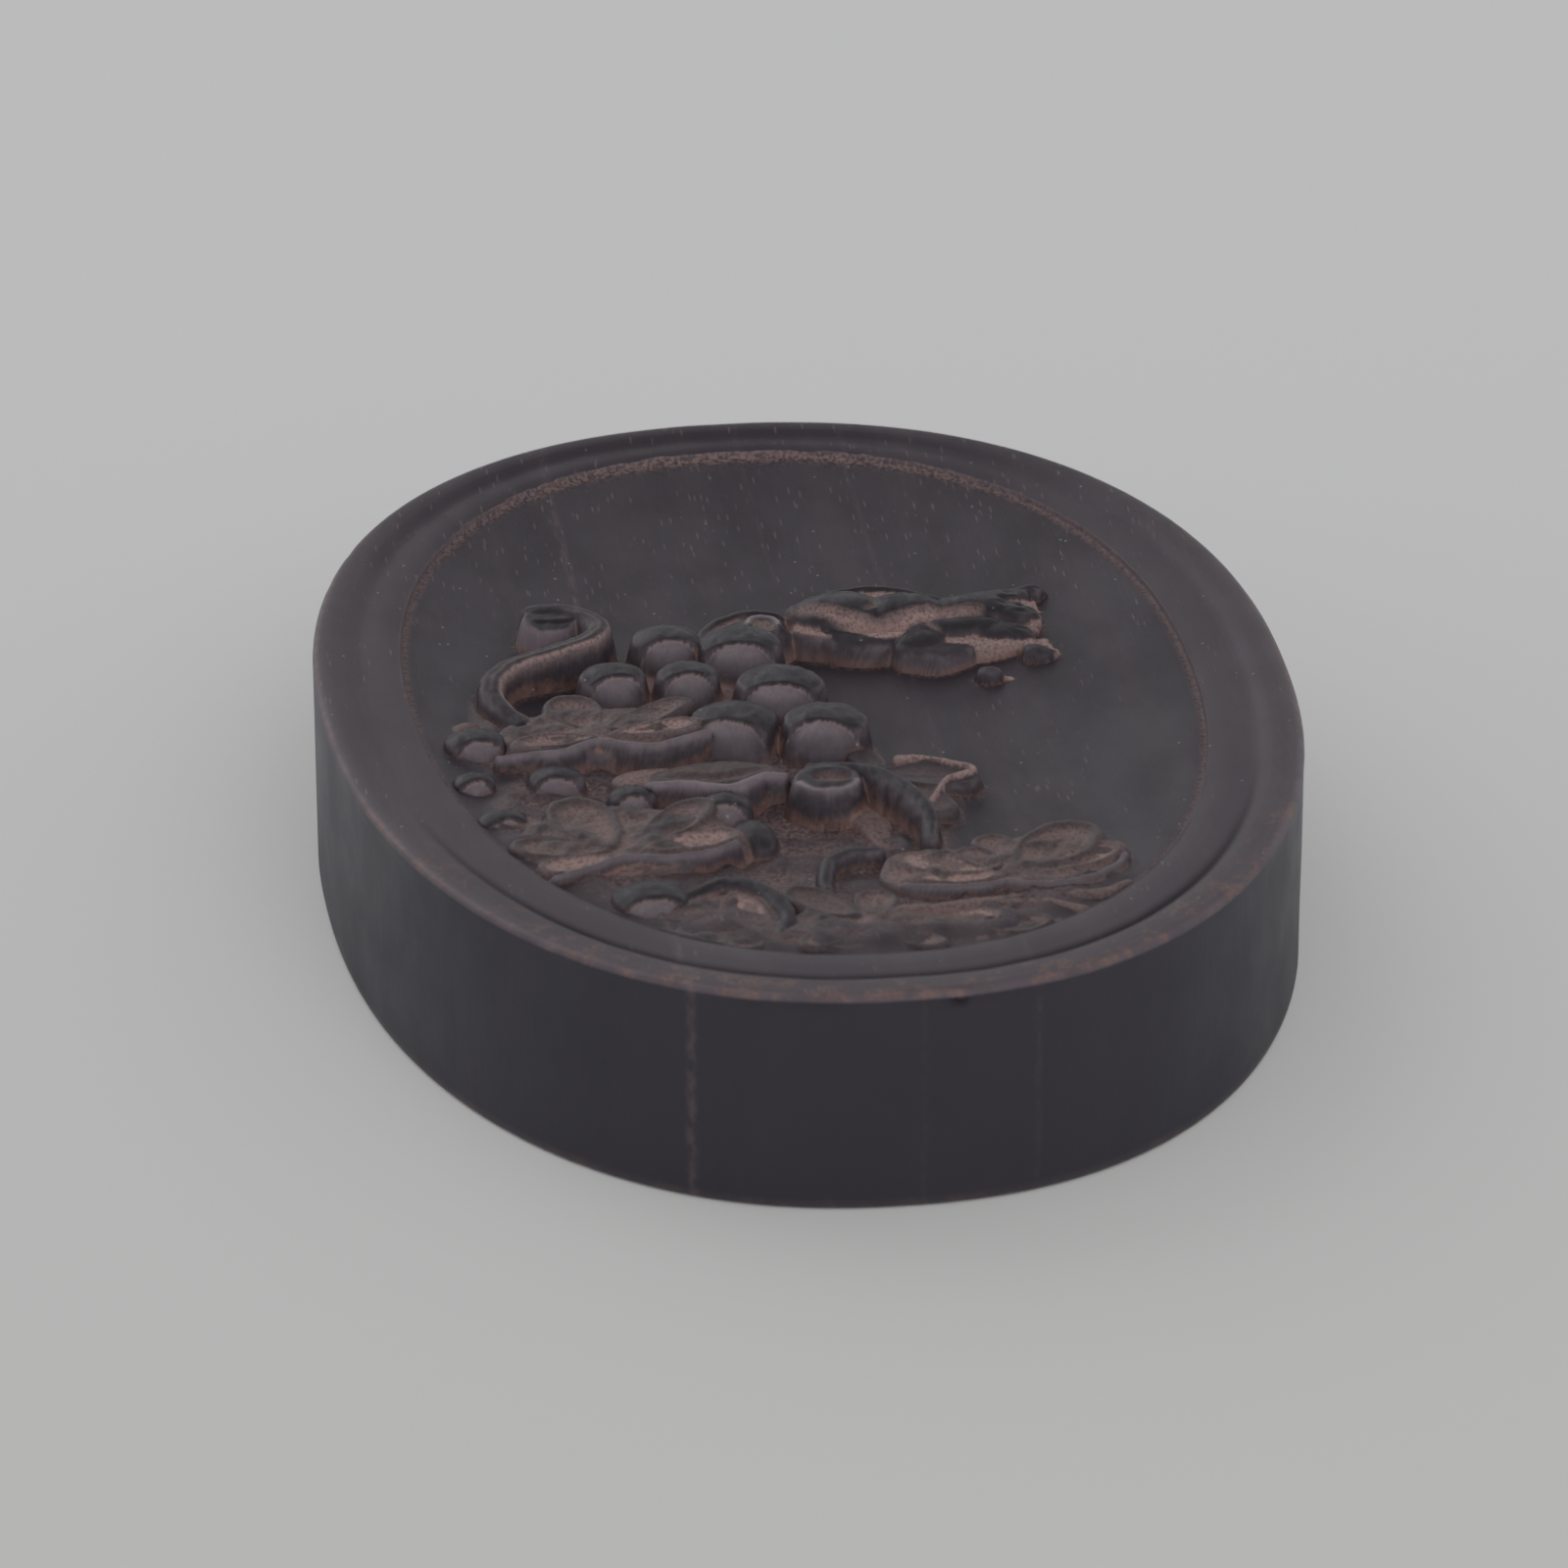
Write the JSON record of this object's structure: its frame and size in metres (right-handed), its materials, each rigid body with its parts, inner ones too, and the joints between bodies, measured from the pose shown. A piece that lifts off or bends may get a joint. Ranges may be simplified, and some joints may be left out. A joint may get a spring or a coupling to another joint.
{
  "type": "carved oval ink stick block",
  "caption": "Thick oval block of dark dense wood with a raised rim, a dished field and a high relief of a squirrel, grapes, vine leaves and a tendril.",
  "frame": {"origin": "middle of the flat underside", "axes": "+Z up out of the carved face, +Y along the oval's long axis towards the squirrel's end, +X to the right when the carved face is read with +Y up"},
  "size_m": [0.06, 0.0844, 0.0138],
  "materials": {
    "dark_wood": "polished dark dense wood, near black with a violet-grey sheen",
    "carved_wood": "the same wood where it is carved, rubbed near black on the crowns and reddish brown on the edges and in the cuts"
  },
  "bodies": {
    "root": {"oval_block": "dark_wood", "squirrel": "carved_wood", "vine_tendril": "carved_wood", "grape_bunch": "carved_wood", "side_grape_1": "carved_wood", "side_grape_2": "carved_wood", "side_grape_3": "carved_wood", "side_grape_4": "carved_wood", "upper_leaf": "carved_wood", "lower_leaf": "carved_wood", "right_leaf": "carved_wood", "middle_leaf": "carved_wood", "pointed_leaf": "carved_wood", "bottom_leaf": "carved_wood", "front_leaf": "carved_wood", "curled_leaf": "carved_wood", "hooked_tendril": "carved_wood", "leaf_fold": "carved_wood", "lowest_grape": "carved_wood"}
  },
  "joints": []
}
